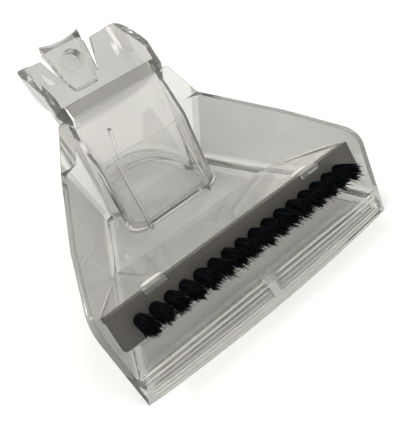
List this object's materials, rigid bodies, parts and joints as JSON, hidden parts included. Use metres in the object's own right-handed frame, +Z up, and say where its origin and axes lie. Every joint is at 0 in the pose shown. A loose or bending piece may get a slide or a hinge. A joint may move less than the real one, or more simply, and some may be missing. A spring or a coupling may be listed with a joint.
{
  "type": "vacuum upholstery nozzle",
  "caption": "Clear upholstery nozzle for a wet vacuum cleaner: flared tray, ribbed suction lip, gray brush strip with black tufts, and a scooped collar with a latch tab.",
  "frame": {"origin": "middle of the bounding box's bottom face, on the plane of the flat back cover", "axes": "+X along the mouth, -Y towards the mouth and the brush, +Z up from the flat back cover out of the open tray"},
  "size_m": [0.1444, 0.1532, 0.0688],
  "materials": {
    "clear_plastic": "clear, polished",
    "gray_plastic": "satin",
    "black_bristle": "fine nylon bristles"
  },
  "bodies": {
    "root": {"nozzle_body": "clear_plastic", "back_cover": "clear_plastic", "brush_holder": "gray_plastic", "bristle_tuft_01": "black_bristle", "bristle_tuft_02": "black_bristle", "bristle_tuft_03": "black_bristle", "bristle_tuft_04": "black_bristle", "bristle_tuft_05": "black_bristle", "bristle_tuft_06": "black_bristle", "bristle_tuft_07": "black_bristle", "bristle_tuft_08": "black_bristle", "bristle_tuft_09": "black_bristle", "bristle_tuft_10": "black_bristle", "bristle_tuft_11": "black_bristle", "bristle_tuft_12": "black_bristle", "bristle_tuft_13": "black_bristle", "bristle_tuft_14": "black_bristle", "bristle_tuft_15": "black_bristle", "bristle_tuft_16": "black_bristle"}
  },
  "joints": []
}
